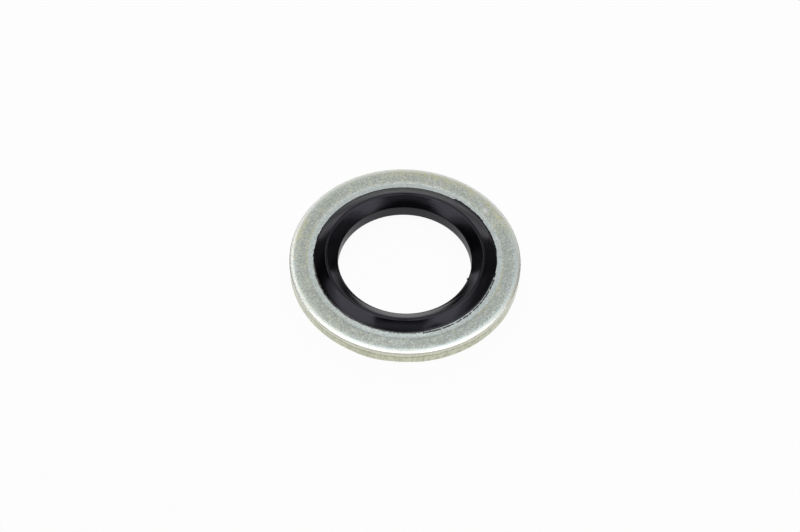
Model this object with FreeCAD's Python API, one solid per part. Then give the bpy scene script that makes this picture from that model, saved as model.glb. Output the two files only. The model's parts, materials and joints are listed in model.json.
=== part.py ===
import FreeCAD, Part

import math
import os

# Bonded sealing washer for an M12 screw: a stamped, zinc-plated steel ring with a nitrile rubber
# ring moulded and bonded into its bore. A bolt head flattens the rubber's two lips until it meets
# the steel, which then carries the load.
#
# Millimetres. Z is the axis of the bore. The washer lies on the crest of its lower lip at Z = 0.
# Both pieces are sections in the XZ plane, revolved about Z.

# Overall
bore_diameter = 12.7  # clears an M12 thread
rubber_width = 2.2  # radial, from the rubber's bore out to the steel it is bonded to
steel_width = 2.45  # radial, from the bonded bore out to the sheared rim
steel_thickness = 1.5

# Rubber section: a lip above and below, with two flanks that are tangent to a rounded crest
lip_height = 0.58  # of a crest above the face of the steel
crest_radius = 0.35
crest_outset = 0.05  # of the crest from the middle of the rubber's width
shoulder_width = 0.18  # flat rubber between the edge of the steel and the foot of the lip
bore_wall_height = 1.18  # of the wall that faces the screw, its broken edges included
bore_edge_break = 0.06

# Steel edges, as blanking, piercing and tumbling leave them
edge_break_width = 0.15  # bevel at both ends of the bonded bore, filled by the rubber
edge_break_depth = 0.03
die_roll_width = 0.6  # the sheet is drawn down here before the punch cuts it
die_roll_depth = 0.12
die_roll_corner = 0.05  # radius in which the roll turns down into the sheared wall
burnished_height = 0.5  # upright, smoothly sheared band under the die roll
fracture_taper = 0.05  # radial, by which the torn band under it leans inwards
burr_edge_break = 0.08

# Ring that the mould's halves press into both faces of the steel where they close on it
land_width = 0.6
land_depth = 0.02

# Levels from the mid-plane and radii that both pieces share
half_thickness = steel_thickness / 2
middle_height = lip_height + half_thickness
bore_radius = bore_diameter / 2
bond_radius = bore_radius + rubber_width
edge_radius = bond_radius + edge_break_width
land_level = half_thickness - land_depth
bond_level = land_level - edge_break_depth

full_turn = 360


def at(radius, level):
    """A point of a section, at a radius from the axis and a level above the washer's mid-plane."""
    return FreeCAD.Vector(radius, 0, middle_height + level)


def heading(angle):
    """A unit vector in the section's plane, at an angle from straight out towards straight up."""
    return FreeCAD.Vector(math.cos(angle), 0, math.sin(angle))


def path(*points):
    """Straight edges through the points, in order."""
    return [Part.makeLine(start, end) for start, end in zip(points, points[1:])]


def arc(centre, radius, start_angle, end_angle):
    """A circular edge between two angles about its centre."""
    angles = (start_angle, (start_angle + end_angle) / 2, end_angle)
    return Part.Arc(*(centre + heading(angle) * radius for angle in angles)).toShape()


def tangent_angle(outside, centre, radius, side):
    """The angle about a circle's centre at which a line from a point outside touches it.

    Seen along the way from the point to the centre, side is 1 for a touch on the left, -1 on the right.
    """
    way = centre - outside
    return math.atan2(way.z, way.x) + side * (math.pi / 2 + math.asin(radius / way.Length))


def broken(corner, size, *neighbours):
    """The ends of the bevel that takes size off both edges at a corner, towards each neighbour."""
    return [corner + (neighbour - corner).normalize() * size for neighbour in neighbours]


def revolved(edges):
    """The solid swept by a closed section in one turn about the bore's axis."""
    section = Part.Face(Part.Wire(Part.__sortEdges__(edges)))
    return section.revolve(FreeCAD.Vector(), FreeCAD.Vector(0, 0, 1), full_turn)


def make_steel_ring():
    """The stamped ring, with its die roll above and its torn edge below."""
    rim_radius = bond_radius + steel_width
    land_radius = edge_radius + land_width
    roll_start = at(rim_radius - die_roll_width, half_thickness)
    roll_end = at(rim_radius, half_thickness - die_roll_depth)

    # A wide arc leaves the flat face and a tight one turns on into the wall: the slope at which they
    # meet is the one that brings both to the roll's width and depth.
    slope = 2 * math.atan((die_roll_depth - die_roll_corner) / (die_roll_width - die_roll_corner))
    sweep_radius = die_roll_corner + (die_roll_width - die_roll_corner) / math.sin(slope)
    sweep_centre = roll_start - heading(math.pi / 2) * sweep_radius
    corner_centre = roll_end - heading(0) * die_roll_corner
    sweep = arc(sweep_centre, sweep_radius, math.pi / 2, math.pi / 2 - slope)
    corner = arc(corner_centre, die_roll_corner, math.pi / 2 - slope, 0)

    torn_start = roll_end - heading(math.pi / 2) * burnished_height
    burr = at(rim_radius - fracture_taper, -half_thickness)
    land_step = at(land_radius, -half_thickness)
    outline = path(
        roll_end,
        torn_start,
        *broken(burr, burr_edge_break, torn_start, land_step),
        land_step,
        at(land_radius, -land_level),
        at(edge_radius, -land_level),
        at(bond_radius, -bond_level),
        at(bond_radius, bond_level),
        at(edge_radius, land_level),
        at(land_radius, land_level),
        at(land_radius, half_thickness),
        roll_start,
    )
    return revolved(outline + [sweep, corner])


def make_rubber_seal():
    """The moulded ring, alike above and below its mid-plane."""
    crest_x = bore_radius + rubber_width / 2 + crest_outset
    crest_centre = at(crest_x, half_thickness + lip_height - crest_radius)
    foot = at(edge_radius - shoulder_width, land_level)
    bore_edge = at(bore_radius, bore_wall_height / 2)
    crest_start = tangent_angle(bore_edge, crest_centre, crest_radius, 1)
    crest_end = tangent_angle(foot, crest_centre, crest_radius, -1)
    flank_top = crest_centre + heading(crest_start) * crest_radius
    wall_end, flank_start = broken(bore_edge, bore_edge_break, at(bore_radius, 0), flank_top)

    upper = path(wall_end, flank_start, flank_top)
    upper += [arc(crest_centre, crest_radius, crest_start, crest_end)]
    upper += path(
        crest_centre + heading(crest_end) * crest_radius,
        foot,
        at(edge_radius, land_level),
        at(bond_radius, bond_level),
    )
    lower = [edge.mirror(at(0, 0), heading(math.pi / 2)) for edge in upper]
    bore_wall = path(wall_end, at(bore_radius, bore_edge_break - bore_wall_height / 2))
    bond_wall = path(at(bond_radius, bond_level), at(bond_radius, -bond_level))
    return revolved(upper + lower + bore_wall + bond_wall)


pieces = {
    "steel_ring": make_steel_ring(),
    "rubber_seal": make_rubber_seal(),
}

os.makedirs("parts", exist_ok=True)
for name, shape in pieces.items():
    shape.exportStep(f"parts/{name}.step")
    print(f"{name}: {shape.Volume:.2f} mm3, {'one solid' if len(shape.Solids) == 1 else 'not one solid'}")
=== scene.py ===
"""Looks of the bonded sealing washer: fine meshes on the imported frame, materials, light and camera.

Metres, in the frame's axes. Z is the axis of the bore, and the washer lies on the floor at Z = 0. Angles
round the washer are in degrees from +X towards +Y. The camera looks from the -Y side, so 90 is the far
side of the ring and 270 the near one.
"""

import json
import math

import bpy
import numpy as np
from mathutils import Matrix, Vector


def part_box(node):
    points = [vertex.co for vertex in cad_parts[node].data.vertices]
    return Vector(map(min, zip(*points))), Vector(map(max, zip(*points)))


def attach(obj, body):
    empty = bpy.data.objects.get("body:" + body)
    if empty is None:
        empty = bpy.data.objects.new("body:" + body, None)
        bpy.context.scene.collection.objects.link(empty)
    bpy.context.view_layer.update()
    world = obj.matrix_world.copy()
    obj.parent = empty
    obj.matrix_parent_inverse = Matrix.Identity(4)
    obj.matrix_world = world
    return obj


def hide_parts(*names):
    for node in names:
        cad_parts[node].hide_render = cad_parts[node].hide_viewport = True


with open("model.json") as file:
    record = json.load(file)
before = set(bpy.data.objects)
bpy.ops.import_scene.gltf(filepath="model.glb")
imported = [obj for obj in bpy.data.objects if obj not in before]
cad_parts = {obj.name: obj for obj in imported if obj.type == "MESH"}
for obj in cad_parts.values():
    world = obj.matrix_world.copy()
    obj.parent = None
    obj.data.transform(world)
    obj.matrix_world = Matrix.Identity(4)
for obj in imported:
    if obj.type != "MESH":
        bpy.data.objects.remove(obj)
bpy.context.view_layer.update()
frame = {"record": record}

MM = 0.001
PER_MM = 1 / MM

# Sizes that the frame gives
steel_low, steel_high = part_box("steel_ring")
seal_low, seal_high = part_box("rubber_seal")
mounts = {mount["name"]: mount for mount in frame["record"]["mounts"]}
rim_radius = steel_high.x
edge_radius = seal_high.x
bore_radius = mounts["screw_bore"]["dims"]["r_mm"] * MM
face = steel_high.z
back_face = steel_low.z
middle = (seal_low.z + seal_high.z) / 2

# The section, as the frame has it
edge_break_width = 0.15 * MM
edge_break_depth = 0.03 * MM
die_roll_width = 0.6 * MM
die_roll_depth = 0.12 * MM
die_roll_corner = 0.05 * MM
burnished_height = 0.5 * MM
fracture_taper = 0.05 * MM
land_width = 0.6 * MM
land_depth = 0.02 * MM
crest_radius = 0.35 * MM
crest_place = 7.5 * MM
bore_wall_height = 1.18 * MM

# Marks too small for the frame. The lip's foot is here too: it lies nearer the edge of the steel than in
# the frame, and further in along the near side and where the flash tore off.
bore_edge_radius = 0.08 * MM
burr_edge_radius = 0.05 * MM
foot_inset = 0.04 * MM
near_inset = 0.055 * MM
torn_inset = 0.09 * MM
foot_radius = 0.15 * MM
inner_bulge = 0.012 * MM
outer_bulge = 0.012 * MM
land_slope = 0.3 * MM
land_offset = 0.02 * MM
land_offset_towards = 250
roll_offset = 0.015 * MM
roll_offset_towards = 270
far_roll_lift = 0.025 * MM
film_thickness = 0.012 * MM
film_rise = 0.02 * MM
seal_offset = 0.03 * MM
seal_offset_towards = 180
nub_height = 0.13 * MM
nub_angle = 342
bead_height = 0.04 * MM

# Stretches of the ring: from and to in degrees, and the turn over which each eases out
near_stretch = (248, 350, 30.0)
torn_stretch = (286, 350, 12.0)
bead_stretch = (200, 340, 30.0)
upright_stretches = ((248, 262, 8.0), (278, 335, 8.0))

# Flash of rubber over the edge of the steel: from and to in degrees, then how far it reaches past the
# edge and how deep its teeth are, in millimetres
flash_zones = (
    (-4, 8, 0.06, 0.03),
    (8, 34, 0.12, 0.035),
    (34, 59, 0.16, 0.05),
    (59, 150, 0.01, 0.012),
    (150, 240, 0.01, 0.11),
    (240, 285, -0.05, 0.11),
    (285, 350, -0.15, 0.015),
    (350, 356, -0.09, 0.05),
)

# Dashes of rubber left on the steel: middle and half of the width, in degrees
residue_dashes = (
    (288.5, 5.5),
    (299, 3.5),
    (307, 1.8),
    (312, 1.8),
    (316, 0.8),
    (321.5, 2.6),
    (326.5, 1.2),
    (333, 4.2),
    (342.5, 4),
    (350, 1.5),
)

# Marks on the back lie this many degrees from those on the front
back_turn = 143.0

# Radius in millimetres at which the noise that runs round the ring is true to length
polar_radius = 9.0

angle_steps = 900
angles = np.arange(angle_steps) * 2 * math.pi / angle_steps


def smooth(share):
    """Eases a share from 0 to 1."""
    share = np.clip(share, 0, 1)
    return share * share * (3 - 2 * share)


def turn_from(start):
    """The turn in degrees, -180 to 180, from an angle to each of the mesh's angles."""
    return (np.degrees(angles) - start + 180) % 360 - 180


def within(start, end, ease=2.0):
    """1 for the angles between two angles in degrees, easing to 0 outside."""
    past_middle = np.abs(turn_from((start + end) / 2))
    return smooth(0.5 + ((end - start) / 2 - past_middle) / ease)


def ring_noise(seed, cells):
    """Smooth noise between -1 and 1 round the ring, with a value in each of a number of cells."""
    values = np.random.default_rng(seed).uniform(-1, 1, cells)
    place = angles / (2 * math.pi) * cells
    cell = np.floor(place).astype(int)
    share = smooth(place - cell)
    return values[cell % cells] * (1 - share) + values[(cell + 1) % cells] * share


def offset_by(distance, towards):
    """What a shift of a circle's centre adds to its radius at each angle."""
    return distance * np.cos(angles - math.radians(towards))


# ---------------------------------------------------------------- sections
# A section is a list of stretches. Each holds radii and levels, with a row for each point and a column
# for each angle, and leaves its last point to the stretch that follows.


def straight(start, end, steps):
    """Points along a line between two points, each a radius and a level."""
    share = np.arange(steps)[:, None] / steps
    return [np.broadcast_to(a + (b - a) * share, (steps, angle_steps)) for a, b in zip(start, end)]


def bowed(start, end, bulge, steps):
    """Points along a line that bulges out to its left between its ends."""
    share = np.arange(steps)[:, None] / steps
    length = np.hypot(end[0] - start[0], end[1] - start[1])
    across = (start[1] - end[1]) / length, (end[0] - start[0]) / length
    bow = 4 * bulge * share * (1 - share)
    return [values + bow * side for values, side in zip(straight(start, end, steps), across)]


def curve(centre, radius, start_angle, end_angle, steps):
    """Points along an arc, with its angles in degrees from straight out towards straight up."""
    turn = np.radians(start_angle + (end_angle - start_angle) * np.arange(steps)[:, None] / steps)
    radii = centre[0] + radius * np.cos(turn)
    levels = centre[1] + radius * np.sin(turn)
    return [np.broadcast_to(values, (steps, angle_steps)) for values in (radii, levels)]


def turned(name, stretches, shift=None):
    """A closed ring mesh from a section that runs outwards along its top and back along its bottom."""
    radii, levels = (np.vstack([stretch[axis] for stretch in stretches]) for axis in (0, 1))
    if shift is not None:
        radii = radii + shift(radii, levels)
    rows = len(radii)
    points = np.stack([radii * np.cos(angles), radii * np.sin(angles), levels], axis=-1)
    row, column = np.meshgrid(np.arange(rows), np.arange(angle_steps), indexing="ij")
    next_row, next_column = (row + 1) % rows, (column + 1) % angle_steps
    corners = [(row, column), (next_row, column), (next_row, next_column), (row, next_column)]
    faces = np.stack([r * angle_steps + c for r, c in corners], axis=-1)
    mesh = bpy.data.meshes.new(name)
    mesh.from_pydata(points.reshape(-1, 3).tolist(), [], faces.reshape(-1, 4).tolist())
    mesh.shade_smooth()
    piece = bpy.data.objects.new(name, mesh)
    bpy.context.scene.collection.objects.link(piece)
    return piece


def make_ring():
    """The stamped ring: coined lands, die roll, burnished and torn bands of the sheared wall."""
    land_edge = edge_radius + land_width - land_slope / 2 + offset_by(land_offset, land_offset_towards)
    land_end = land_edge + land_slope
    land = face - land_depth
    back_land = back_face + land_depth
    bond_radius = edge_radius - edge_break_width
    bond_top = land - edge_break_depth
    bond_bottom = back_land + edge_break_depth
    roll_depth = die_roll_depth + offset_by(roll_offset, roll_offset_towards)
    roll_depth = roll_depth - far_roll_lift * np.clip(np.sin(angles), 0, 1)
    roll_slope = 2 * np.arctan((roll_depth - die_roll_corner) / (die_roll_width - die_roll_corner))
    sweep_radius = die_roll_corner + (die_roll_width - die_roll_corner) / np.sin(roll_slope)
    roll_start = rim_radius - die_roll_width
    roll_end = face - roll_depth
    turn_over = 90 - np.degrees(roll_slope)
    torn_start = roll_end - burnished_height
    upright = sum(within(*stretch) for stretch in upright_stretches)
    torn_end = rim_radius - fracture_taper * (1 - upright)
    burr_centre = torn_end - burr_edge_radius, back_face + burr_edge_radius
    return turned(
        "stamped_ring",
        [
            straight((bond_radius, bond_top), (edge_radius, land), 4),
            straight((edge_radius, land), (land_edge, land), 6),
            straight((land_edge, land), (land_end, face), 4),
            straight((land_end, face), (roll_start, face), 8),
            curve((roll_start, face - sweep_radius), sweep_radius, 90, turn_over, 14),
            curve((rim_radius - die_roll_corner, roll_end), die_roll_corner, turn_over, 0, 8),
            straight((rim_radius, roll_end), (rim_radius, torn_start), 6),
            straight((rim_radius, torn_start), (torn_end, burr_centre[1]), 8),
            curve(burr_centre, burr_edge_radius, 0, -90, 6),
            straight((burr_centre[0], back_face), (land_end, back_face), 6),
            straight((land_end, back_face), (land_edge, back_land), 4),
            straight((land_edge, back_land), (edge_radius, back_land), 4),
            straight((edge_radius, back_land), (bond_radius, bond_bottom), 3),
            straight((bond_radius, bond_bottom), (bond_radius, bond_top), 3),
        ],
    )


def flash_reach(seed):
    """How far the flash reaches past the edge of the steel, at each angle."""
    reach = np.zeros(angle_steps)
    jag = 0.35 * ring_noise(seed, 220) + 0.65 * ring_noise(seed + 1, 450)
    jag = jag + 0.5 * ring_noise(seed + 2, 90)
    for start, end, past, teeth in flash_zones:
        reach += within(start, end) * (past + teeth * jag)
    return reach * MM


def tangent_turn(outside, centre, radius, side):
    """The angle, in degrees, about a circle's centre where a line from a point outside touches it."""
    out, up = centre[0] - outside[0], centre[1] - outside[1]
    lean = np.arcsin(radius / np.hypot(out, up))
    return np.degrees(np.arctan2(up, out) + side * (math.pi / 2 + lean))


def on_circle(centre, radius, turn):
    """The point of a circle at an angle in degrees."""
    return centre[0] + radius * np.cos(np.radians(turn)), centre[1] + radius * np.sin(np.radians(turn))


def half_seal(seed):
    """The stretches of the seal's upper half, from its bore wall out to the steel, about level 0."""
    face_level = face - middle
    land_level = face_level - land_depth
    bond_radius = edge_radius - edge_break_width
    bond_level = land_level - edge_break_depth
    crest = crest_place, seal_high.z - middle - crest_radius
    bore_edge = bore_radius, bore_wall_height / 2
    inset = foot_inset + near_inset * within(*near_stretch) + torn_inset * within(*torn_stretch)
    foot = edge_radius - inset, land_level
    inner_turn = tangent_turn(bore_edge, crest, crest_radius, 1)
    outer_turn = tangent_turn(foot, crest, crest_radius, -1)
    inner_top = on_circle(crest, crest_radius, inner_turn)
    outer_top = on_circle(crest, crest_radius, outer_turn)

    # A round edge that is tangent to the bore wall and the inner flank
    drop = bore_edge_radius * np.tan(np.radians((180 - inner_turn) / 2))
    edge_centre = bore_radius + bore_edge_radius, bore_edge[1] - drop
    flank_start = on_circle(edge_centre, bore_edge_radius, inner_turn)

    # A fillet at the foot of the lip, which ends level with the land, and the flash beyond it
    past_foot = foot_radius * np.tan(np.radians((90 - outer_turn) / 2))
    fillet_centre = foot[0] + past_foot, foot[1] + foot_radius
    fillet_start = on_circle(fillet_centre, foot_radius, outer_turn - 180)
    past = flash_reach(seed)
    reach = np.maximum(edge_radius + past, fillet_centre[0] + 2 * film_thickness)
    film = land_level + film_thickness * smooth(past / film_rise + 1)
    share = np.clip((reach - bond_radius) / edge_break_width, 0, 1)
    tucked = bond_radius + edge_break_width * share, bond_level + edge_break_depth * share
    return [
        straight((bore_radius, 0), (bore_radius, edge_centre[1]), 3),
        curve(edge_centre, bore_edge_radius, 180, inner_turn, 5),
        bowed(flank_start, inner_top, inner_bulge, 10),
        curve(crest, crest_radius, inner_turn, outer_turn, 14),
        bowed(outer_top, fillet_start, outer_bulge, 10),
        curve(fillet_centre, foot_radius, outer_turn - 180, -90, 4),
        straight((fillet_centre[0], land_level), (reach - film_thickness, film), 3),
        straight((reach - film_thickness, film), tucked, 2),
        straight(tucked, (bond_radius, bond_level), 1),
        straight((bond_radius, bond_level), (bond_radius, 0), 1),
    ]


def moulded_marks(radii, levels):
    """Shifts the lips and the bore off centre, and leaves a bead and a nub on the bore's edge."""
    # The shift dies away towards the edge of the steel. Some of it reaches the hidden bond wall.
    share = smooth((edge_radius - 0.1 * MM - radii) / (0.07 * MM))
    off_centre = share * offset_by(seal_offset, seal_offset_towards)
    at_edge = np.exp(-(((levels - middle - bore_wall_height / 2) / (0.1 * MM)) ** 2))
    at_bore = smooth(1 - (radii - bore_radius) / (0.3 * MM))
    nub = nub_height * at_edge * at_bore * np.exp(-((turn_from(nub_angle) / 0.7) ** 2))
    bead = bead_height * at_edge * at_bore * within(*bead_stretch)
    return off_centre - nub - bead


def make_seal():
    """The moulded ring, with flash that differs above and below."""
    upper = [(radii, middle + levels) for radii, levels in half_seal(seed=3)]
    lower = [(radii[::-1], middle - levels[::-1]) for radii, levels in reversed(half_seal(seed=8))]
    wall_radii, wall_levels = lower.pop()
    return turned("moulded_seal", upper + lower + [(wall_radii[:-1], wall_levels[:-1])], moulded_marks)


# ---------------------------------------------------------------- materials


def linear(red, green, blue):
    """A colour given as it looks on screen, 0 to 255, as the linear values that shaders take."""
    shown = np.array([red, green, blue]) / 255
    values = np.where(shown > 0.04045, ((shown + 0.055) / 1.055) ** 2.4, shown / 12.92)
    return (*values.tolist(), 1.0)


class Shader:
    """A material whose nodes are written as calls. What a call returns can feed the next one."""

    def __init__(self, name):
        self.material = bpy.data.materials.new(name)
        self.material.use_nodes = True
        self.tree = self.material.node_tree
        self.surface = self.tree.nodes["Principled BSDF"]
        place = self.add("ShaderNodeTexCoord").outputs["Object"]
        self.place = self.vector("SCALE", place, scale=PER_MM)
        split = self.add("ShaderNodeSeparateXYZ")
        self.feed(self.place, split.inputs[0])
        self.x, self.y, self.z = split.outputs
        self.radius = self.distance_from(0.0, 0.0)
        below = self.ease(self.z, middle * PER_MM - 0.01, middle * PER_MM + 0.01, back_turn, 0.0)
        turn = self.math("DEGREES", self.math("ARCTAN2", self.y, self.x))
        self.angle = self.math("ADD", turn, below)

    def add(self, kind, **settings):
        node = self.tree.nodes.new(kind)
        for name, value in settings.items():
            setattr(node, name, value)
        return node

    def feed(self, value, socket):
        if isinstance(value, bpy.types.NodeSocket):
            self.tree.links.new(value, socket)
        else:
            socket.default_value = value

    def math(self, operation, *values):
        node = self.add("ShaderNodeMath", operation=operation)
        for value, socket in zip(values, node.inputs):
            self.feed(value, socket)
        return node.outputs[0]

    def all_of(self, *values):
        product = values[0]
        for value in values[1:]:
            product = self.math("MULTIPLY", product, value)
        return product

    def either(self, *values):
        highest = values[0]
        for value in values[1:]:
            highest = self.math("MAXIMUM", highest, value)
        return highest

    def vector(self, operation, *values, scale=1.0):
        node = self.add("ShaderNodeVectorMath", operation=operation)
        for value, socket in zip(values, node.inputs):
            self.feed(value, socket)
        node.inputs["Scale"].default_value = scale
        return node.outputs["Vector"]

    def point(self, x, y, z):
        node = self.add("ShaderNodeCombineXYZ")
        for value, socket in zip((x, y, z), node.inputs):
            self.feed(value, socket)
        return node.outputs[0]

    def distance_from(self, x, y):
        """The distance in millimetres from an upright line."""
        across = self.math("POWER", self.math("SUBTRACT", self.x, x), 2.0)
        along = self.math("POWER", self.math("SUBTRACT", self.y, y), 2.0)
        return self.math("SQRT", self.math("ADD", across, along))

    def polar(self, around, outwards, upwards):
        """A place whose steps per millimetre differ round the ring, away from its axis and up it."""
        reach = polar_radius * around
        x = self.math("MULTIPLY", self.math("DIVIDE", self.x, self.radius), reach)
        y = self.math("MULTIPLY", self.math("DIVIDE", self.y, self.radius), reach)
        out = self.math("MULTIPLY", self.radius, outwards)
        return self.point(x, y, self.math("MULTIPLY_ADD", self.z, upwards, out))

    def noise(self, place, scale, detail=3.0, roughness=0.55):
        node = self.add("ShaderNodeTexNoise")
        self.feed(place, node.inputs["Vector"])
        node.inputs["Scale"].default_value = scale
        node.inputs["Detail"].default_value = detail
        node.inputs["Roughness"].default_value = roughness
        return node.outputs["Fac"]

    def ease(self, value, low, high, first=0.0, last=1.0):
        """Eases from first to last as the value goes from low to high."""
        node = self.add("ShaderNodeMapRange", interpolation_type="SMOOTHSTEP")
        for given, socket in zip((value, low, high, first, last), node.inputs):
            self.feed(given, socket)
        return node.outputs["Result"]

    def between(self, value, low, high, soft):
        """1 between two values, easing to 0 over a soft stretch outside each."""
        rise = self.ease(value, low - soft, low)
        fall = self.ease(value, high, high + soft, 1.0, 0.0)
        return self.math("MULTIPLY", rise, fall)

    def towards(self, centre, half, soft):
        """1 within half of an angle round the washer, all in degrees."""
        turn = self.math("WRAP", self.math("SUBTRACT", self.angle, centre), 180.0, -180.0)
        return self.ease(self.math("ABSOLUTE", turn), half, half + soft, 1.0, 0.0)

    def mix(self, share, first, second):
        node = self.add("ShaderNodeMix", data_type="RGBA")
        sockets = node.inputs[0], node.inputs[6], node.inputs[7]
        for value, socket in zip((share, first, second), sockets):
            self.feed(value, socket)
        return node.outputs[2]

    def bump(self, height, distance, normal=None):
        node = self.add("ShaderNodeBump")
        self.feed(height, node.inputs["Height"])
        node.inputs["Distance"].default_value = distance
        if normal is not None:
            self.feed(normal, node.inputs["Normal"])
        return node.outputs[0]

    def finish(self, values):
        for name, value in values.items():
            self.feed(value, self.surface.inputs[name])
        return self.material


def speckled(m):
    """Specks along the edge of the steel, on the stretch where the flash is ragged."""
    return m.all_of(m.towards(238, 48, 8), m.ease(m.noise(m.place, 8.0, detail=2.0), 0.46, 0.54))


def sheared_wall(m):
    """The sheared wall's yellower colour, and its streaks.

    Downwards it has a dark line under the roll, a light burnished band, a dark line and a torn band.
    """
    depth = m.math("SUBTRACT", face * PER_MM, m.z)
    tear = (die_roll_depth + burnished_height) * PER_MM
    under_roll = m.between(depth, 0.16, 0.195, 0.03)
    wander = m.noise(m.polar(0.8, 0.0, 0.0), 1.0, detail=3.0)
    depth = m.math("ADD", depth, m.ease(wander, 0.3, 0.7, -0.06, 0.06))
    streaks = m.noise(m.polar(4.0, 0.0, 1.4), 1.0, detail=3.0, roughness=0.65)
    wall_colour = m.mix(m.ease(streaks, 0.3, 0.7), linear(172, 174, 152), linear(204, 206, 186))
    burnished = m.between(depth, 0.24, tear - 0.12, 0.06)
    wall_colour = m.mix(m.math("MULTIPLY", burnished, 0.6), wall_colour, linear(212, 212, 198))
    torn_line = m.math("MULTIPLY", m.between(depth, tear, tear + 0.08, 0.06), 0.65)
    lines = m.math("MULTIPLY", m.either(under_roll, torn_line), 0.8)
    return m.mix(lines, wall_colour, linear(138, 138, 116)), streaks


def scuffed(m, colour):
    """A colour with bright scuffs and a dark scratch over it, on the right of the far side."""
    scuff = m.all_of(
        m.between(m.radius, 9.5, 9.95, 0.1),
        m.either(m.towards(31.5, 0.4, 0.8), m.towards(40, 1.2, 1.2)),
        m.ease(m.noise(m.polar(7.0, 3.0, 0.0), 1.0), 0.42, 0.6),
    )
    colour = m.mix(m.math("MULTIPLY", scuff, 0.85), colour, linear(245, 245, 243))
    dash = m.all_of(
        m.between(m.radius, 9.27, 9.3, 0.02),
        m.towards(42, 8, 3),
        m.ease(m.noise(m.polar(1.2, 0.0, 0.0), 1.0), 0.4, 0.55),
    )
    return m.mix(m.math("MULTIPLY", dash, 0.6), colour, linear(96, 100, 102))


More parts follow.
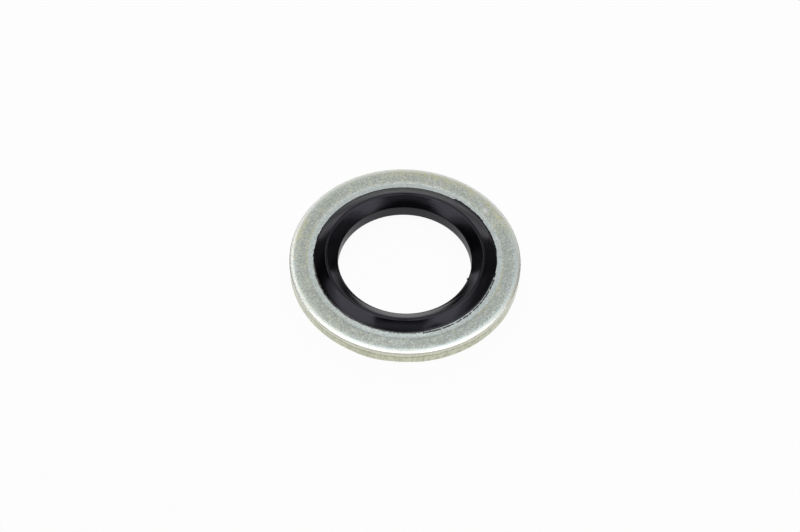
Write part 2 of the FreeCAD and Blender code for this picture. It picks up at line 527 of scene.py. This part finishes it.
def zinc_plate():
    """Dull zinc plate: a fine blue-grey and olive grain, with a smooth land and a sheared wall, painted
    shade on the face's right and left and a painted highlight on the land's near side.
    """
    m = Shader("zinc_plate")
    rim = rim_radius * PER_MM
    top = (face - die_roll_depth) * PER_MM
    offset = land_offset * PER_MM
    shift = math.radians(land_offset_towards)
    land_radius = (edge_radius + land_width) * PER_MM
    from_land = m.distance_from(offset * math.cos(shift), offset * math.sin(shift))
    land = m.ease(from_land, land_radius - 0.06, land_radius + 0.06, 1.0, 0.0)
    outermost = m.ease(m.radius, rim - 0.08, rim - 0.05)
    wall = m.all_of(outermost, m.ease(m.z, top - 0.05, top - 0.01, 1.0, 0.0))

    grain = m.noise(m.place, 6.0, detail=3.0, roughness=0.7)
    fine = m.noise(m.place, 16.0, detail=1.0)
    hue = m.noise(m.place, 5.0, detail=4.0, roughness=0.7)
    patches = m.noise(m.place, 0.8, detail=2.0)
    olive = m.all_of(m.between(m.radius, 9.5, 10.1, 0.3), m.ease(patches, 0.35, 0.65))
    near = m.all_of(m.ease(m.radius, 10.0, 10.5), m.towards(265, 70, 30))
    far = m.towards(80, 60, 50)
    depth_of_hue = m.ease(m.towards(250, 75, 30), 0.0, 1.0, 0.7, 1.2)
    warm = m.math("MULTIPLY_ADD", olive, 0.45, m.ease(hue, 0.36, 0.64, 0.0, depth_of_hue))
    warm = m.math("SUBTRACT", warm, m.math("MULTIPLY", near, 0.25))
    warm = m.math("MULTIPLY_ADD", far, 0.12, warm)
    warm = m.math("MULTIPLY_ADD", m.towards(310, 45, 40), -0.4, warm)
    colour = m.mix(warm, linear(217, 229, 229), linear(233, 233, 210))
    # The land's own paler colour, with a painted highlight that makes it lighter still towards 264
    # degrees, on the near side
    land_colour_and_highlight = m.mix(m.towards(264, 16, 20), linear(219, 230, 230), linear(236, 247, 247))
    colour = m.mix(m.math("MULTIPLY", land, 0.8), colour, land_colour_and_highlight)
    roll = m.ease(m.radius, rim - 0.6, rim - 0.35)
    smoothed = m.either(m.math("MULTIPLY", land, 0.3), m.math("MULTIPLY", roll, 0.95))
    shade = m.all_of(m.ease(grain, 0.34, 0.66), m.math("SUBTRACT", 1.0, smoothed))
    # Painted shade on the face: a little darker all round, and darker on the right and on the left,
    # where less light falls. It adds to the grain's dark tone.
    right_shade = m.math("MULTIPLY", m.towards(328, 38, 35), 0.28)
    left_shade = m.math("MULTIPLY", m.towards(192, 52, 25), 0.24)
    face_only = m.all_of(m.math("SUBTRACT", 1.0, land), m.ease(m.radius, 10.0, 10.4, 1.0, 0.0))
    painted_side_shade = m.all_of(m.either(right_shade, left_shade, 0.08), face_only)
    colour = m.mix(m.math("ADD", shade, painted_side_shade), colour, linear(172, 179, 174))
    colour = m.mix(m.ease(m.radius, rim - 0.4, rim - 0.2), colour, linear(241, 243, 237))

    # A shadow line where the land steps up to the face
    step = m.between(from_land, land_radius + 0.02, land_radius + 0.1, 0.08)
    step_shadow = m.math("MULTIPLY", m.all_of(step, m.towards(270, 75, 20)), 0.22)
    colour = m.mix(step_shadow, colour, linear(172, 179, 170))

    # Iron stains towards the rim and yellow chromate beside the land
    beside_land = m.between(from_land, land_radius + 0.03, land_radius + 0.09, 0.12)
    stain_band = m.either(
        m.all_of(m.between(m.radius, 10.35, 10.6, 0.3), m.towards(62, 24, 30)),
        m.all_of(m.between(m.radius, 10.4, 10.6, 0.2), m.towards(163, 5, 5)),
        m.all_of(m.between(m.radius, 10.75, 10.95, 0.1), m.towards(341, 5, 4)),
        m.all_of(beside_land, m.either(m.towards(340, 20, 6), m.towards(172, 12, 6))),
    )
    spots = m.noise(m.place, 2.2, detail=4.0, roughness=0.65)
    stain = m.all_of(stain_band, m.ease(spots, 0.4, 0.64, 0.15, 1.0))
    colour = m.mix(m.math("MULTIPLY", stain, 0.55), colour, linear(222, 214, 158))

    wall_colour, streaks = sheared_wall(m)
    colour = m.mix(wall, colour, wall_colour)

    # Rubber left on the land in broken dashes where the flash tore away, and in specks along its edge
    dashes = m.either(*(m.towards(centre, half, 0.6) for centre, half in residue_dashes))
    torn = m.noise(m.polar(4.0, 3.0, 0.0), 1.0, detail=2.0)
    line_start, line_end = 8.79, 8.69
    line = m.ease(m.angle, -62.0, -18.0, line_start, line_end)
    from_line = m.math("SUBTRACT", m.radius, line)
    from_line = m.math("ADD", from_line, m.ease(torn, 0.3, 0.7, -0.025, 0.025))
    residue = m.all_of(m.between(from_line, -0.05, 0.05, 0.03), dashes, m.ease(torn, 0.25, 0.35))
    colour = m.mix(residue, colour, linear(20, 19, 19))
    edge = edge_radius * PER_MM
    specks = m.all_of(m.between(m.radius, edge, edge + 0.05, 0.06), speckled(m))
    colour = m.mix(m.math("MULTIPLY", specks, 0.8), colour, linear(84, 80, 75))
    metallic = m.ease(residue, 0.0, 1.0, 1.0, 0.0)

    colour = scuffed(m, colour)
    roughness = m.math("ADD", m.ease(grain, 0.3, 0.7, 0.3, 0.38), m.math("MULTIPLY", residue, 0.2))
    roughness = m.math("SUBTRACT", roughness, m.math("MULTIPLY", roll, 0.06))
    rough = m.math("SUBTRACT", 1.0, m.math("MULTIPLY", roll, 0.93))
    normal = m.bump(m.math("MULTIPLY", fine, rough), 0.0008 * MM)
    normal = m.bump(m.math("MULTIPLY", grain, rough), 0.0035 * MM, normal)
    below_roll = m.ease(m.z, top - 0.1, top - 0.02, 1.0, 0.0)
    normal = m.bump(m.all_of(streaks, wall, below_roll), 0.012 * MM, normal)
    return m.finish(
        {"Base Color": colour, "Metallic": metallic, "Roughness": roughness, "Normal": normal}
    )


def nitrile_rubber():
    """Black nitrile rubber with the fine turned lines that its mould leaves, and a brownish painted
    highlight at the foot of its lip.
    """
    m = Shader("nitrile_rubber")
    lines = m.noise(m.polar(0.06, 9.0, 9.0), 1.0, detail=3.0, roughness=0.6)
    grain = m.noise(m.place, 9.0, detail=3.0)
    smears = m.noise(m.polar(0.5, 2.0, 2.0), 1.0, detail=3.0)
    colour = m.mix(grain, linear(2, 2, 4), linear(7, 6, 10))
    # A painted highlight: a brownish band of light on the film at the lip's foot, on the right of the
    # far side
    foot_highlight_ring = m.between(m.radius, 8.585, 8.61, 0.02)
    painted_foot_highlight = m.all_of(foot_highlight_ring, m.towards(36, 18, 5), m.ease(smears, 0.35, 0.6))
    colour = m.mix(m.math("MULTIPLY", painted_foot_highlight, 0.6), colour, linear(84, 72, 56))
    edge = edge_radius * PER_MM
    specks = m.all_of(m.between(m.radius, edge - 0.08, edge + 0.1, 0.05), speckled(m))
    colour = m.mix(m.math("MULTIPLY", specks, 0.6), colour, linear(124, 120, 112))

    # The bore wall is duller and plainer than the lips
    bore = bore_radius * PER_MM
    wall = m.ease(m.radius, bore + 0.02, bore + 0.06, 1.0, 0.0)
    roughness = m.math("ADD", m.ease(smears, 0.3, 0.7, 0.1, 0.15), m.ease(lines, 0.3, 0.7, 0.0, 0.06))
    roughness = m.math("MULTIPLY_ADD", wall, 0.25, roughness)
    turned_lines = m.math("MULTIPLY", lines, m.math("SUBTRACT", 1.0, m.math("MULTIPLY", wall, 0.8)))
    normal = m.bump(grain, 0.0005 * MM, m.bump(turned_lines, 0.002 * MM))
    return m.finish(
        {
            "Base Color": colour,
            "Roughness": roughness,
            "Normal": normal,
            "IOR": 1.45,
            "Specular IOR Level": m.ease(wall, 0.0, 1.0, 0.5, 0.42),
            "Specular Tint": (0.84, 0.84, 1, 1),
        }
    )


def dress(piece, node, material):
    """Gives a piece its material, and puts it in the place of a node of the frame."""
    piece.data.materials.append(material)
    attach(piece, "root")
    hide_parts(node)


# ---------------------------------------------------------------- studio

camera_distance = 275 * MM
camera_height_angle = math.radians(52.85)
camera_roll = math.radians(2.4)
camera_aim = Vector((-0.462 * MM, -0.876 * MM, face))
camera_lens = 130.5
camera_sensor = 36
camera_nearest = 0.01
lamp_height = 0.6
lamp_spacing = 0.01
wall_distance = 0.9
floor_size = 3.0
floor_white = 0.95
floor_glow = 0.95
room_grey = 0.03

# Lamps over the washer, each a little under the one before: left, right, front and back ends, each
# divided by the lamp's height above the floor, and how bright it looks, where 1 is white
overhead_lamps = {
    "left_bank": (-1.17, -0.35, -0.55, 0.45, 0.78),
    "left_core": (-0.95, -0.37, -0.5, 0.25, 0.95),
    "left_inner": (-0.38, -0.04, -0.3, 0.39, 1.6),
    "left_back": (-0.48, -0.28, 0.55, 0.95, 1.7),
    "right_bank": (0.38, 1.16, -0.56, 0.5, 0.8),
    "right_core": (0.44, 0.91, -0.54, 0.25, 0.98),
    "right_inner": (0.04, 0.38, -0.3, 0.4, 1.6),
    "right_back": (0.18, 0.42, 0.55, 0.95, 0.3),
    "right_far": (1.16, 1.8, -0.3, 0.8, 0.2),
    "inner_front": (-0.04, 0.04, -0.3, 0.0, 1.0),
    "inner_fade": (-0.42, 0.44, 0.39, 0.62, 0.52),
    "middle_fade": (-0.18, 0.26, 0.46, 0.72, 0.68),
    "back_bank": (-0.9, 0.9, 0.55, 0.98, 0.14),
    "back_wash": (-0.9, 0.9, 0.98, 2.4, 0.75),
    "front_bridge": (-0.36, 0.42, -0.58, -0.42, 0.55),
}

# Upright lamps behind the washer: place across, level, width, height and brightness
wall_lamps = {
    "back_wall": (-0.045, 0.065, 1.6, 0.13, 0.5),
    "back_wall_middle": (-0.06, 0.15, 1.4, 0.3, 1.2),
}

# Dim lamps at both sides: turn to the right and rise in degrees, width, height and brightness
side_lamps = {
    "low_left": (-48, 19, 0.35, 0.25, 0.09),
    "low_right": (54, 22, 0.6, 0.25, 0.09),
}


def place_camera():
    """Looks down on the washer from the -Y side, a little rolled."""
    towards_camera = Vector((0, -math.cos(camera_height_angle), math.sin(camera_height_angle)))
    level = Vector((1, 0, 0))
    upright = towards_camera.cross(level)
    right = math.cos(camera_roll) * level + math.sin(camera_roll) * upright
    up = towards_camera.cross(right)
    place = camera_aim + towards_camera * camera_distance
    data = bpy.data.cameras.new("camera")
    data.lens = camera_lens
    data.sensor_width = camera_sensor
    data.clip_start = camera_nearest
    camera = bpy.data.objects.new("camera", data)
    turn = Matrix((right, up, towards_camera)).transposed().to_4x4()
    camera.matrix_world = Matrix.Translation(place) @ turn
    bpy.context.scene.collection.objects.link(camera)
    bpy.context.scene.camera = camera


def softbox(name, place, towards, width, height, strength):
    """A rectangular lamp that faces against a direction. Strength 1 looks as bright as white."""
    data = bpy.data.lights.new(name, "AREA")
    data.shape = "RECTANGLE"
    data.size = width
    data.size_y = height
    data.energy = strength * math.pi * width * height
    lamp = bpy.data.objects.new(name, data)
    lamp.rotation_euler = Vector(towards).to_track_quat("Z", "Y").to_euler()
    lamp.location = place
    bpy.context.scene.collection.objects.link(lamp)


def light_studio():
    """Banks of light over the washer, bright walls behind it, dim lamps at its sides and a dim room."""
    height = lamp_height
    for name, (left, right, front, back, strength) in overhead_lamps.items():
        place = ((left + right) / 2 * height, (front + back) / 2 * height, height)
        softbox(name, place, (0, 0, 1), (right - left) * height, (back - front) * height, strength)
        height -= lamp_spacing
    for name, (across, level, width, tall, strength) in wall_lamps.items():
        softbox(name, (across, wall_distance, level), (0, 1, 0), width, tall, strength)
    for name, (turn, rise, width, tall, strength) in side_lamps.items():
        turn, rise = math.radians(turn), math.radians(rise)
        reach = math.cos(rise)
        towards = Vector((math.sin(turn) * reach, math.cos(turn) * reach, math.sin(rise)))
        softbox(name, towards * wall_distance, towards, width, tall, strength)
    world = bpy.data.worlds.new("room")
    world.use_nodes = True
    background = world.node_tree.nodes["Background"]
    background.inputs["Color"].default_value = (room_grey, room_grey, room_grey, 1)
    bpy.context.scene.world = world


def lay_floor():
    """A white floor that keeps a soft shadow, and that the camera and reflections see as near white."""
    mesh = bpy.data.meshes.new("floor")
    half = floor_size / 2
    corners = [(-half, -half, 0), (half, -half, 0), (half, half, 0), (-half, half, 0)]
    mesh.from_pydata(corners, [], [(0, 1, 2, 3)])
    floor = bpy.data.objects.new("floor", mesh)
    bpy.context.scene.collection.objects.link(floor)
    material = bpy.data.materials.new("floor_white")
    material.use_nodes = True
    nodes, links = material.node_tree.nodes, material.node_tree.links
    nodes.clear()
    ray = nodes.new("ShaderNodeLightPath")
    seen = nodes.new("ShaderNodeMath")
    seen.operation = "ADD"
    seen.use_clamp = True
    links.new(ray.outputs["Is Camera Ray"], seen.inputs[0])
    seen_mirrored = nodes.new("ShaderNodeMath")
    seen_mirrored.operation = "ADD"
    links.new(ray.outputs["Is Glossy Ray"], seen_mirrored.inputs[0])
    links.new(ray.outputs["Is Transmission Ray"], seen_mirrored.inputs[1])
    links.new(seen_mirrored.outputs[0], seen.inputs[1])
    share = nodes.new("ShaderNodeMath")
    share.operation = "MULTIPLY"
    share.inputs[1].default_value = floor_glow
    links.new(seen.outputs[0], share.inputs[0])
    matt = nodes.new("ShaderNodeBsdfDiffuse")
    matt.inputs["Color"].default_value = (floor_white, floor_white, floor_white, 1)
    glow = nodes.new("ShaderNodeEmission")
    blend = nodes.new("ShaderNodeMixShader")
    output = nodes.new("ShaderNodeOutputMaterial")
    links.new(share.outputs[0], blend.inputs[0])
    links.new(matt.outputs[0], blend.inputs[1])
    links.new(glow.outputs[0], blend.inputs[2])
    links.new(blend.outputs[0], output.inputs["Surface"])
    mesh.materials.append(material)


place_camera()
dress(make_ring(), "steel_ring", zinc_plate())
dress(make_seal(), "rubber_seal", nitrile_rubber())
light_studio()
lay_floor()
bpy.context.scene.view_settings.view_transform = "Standard"
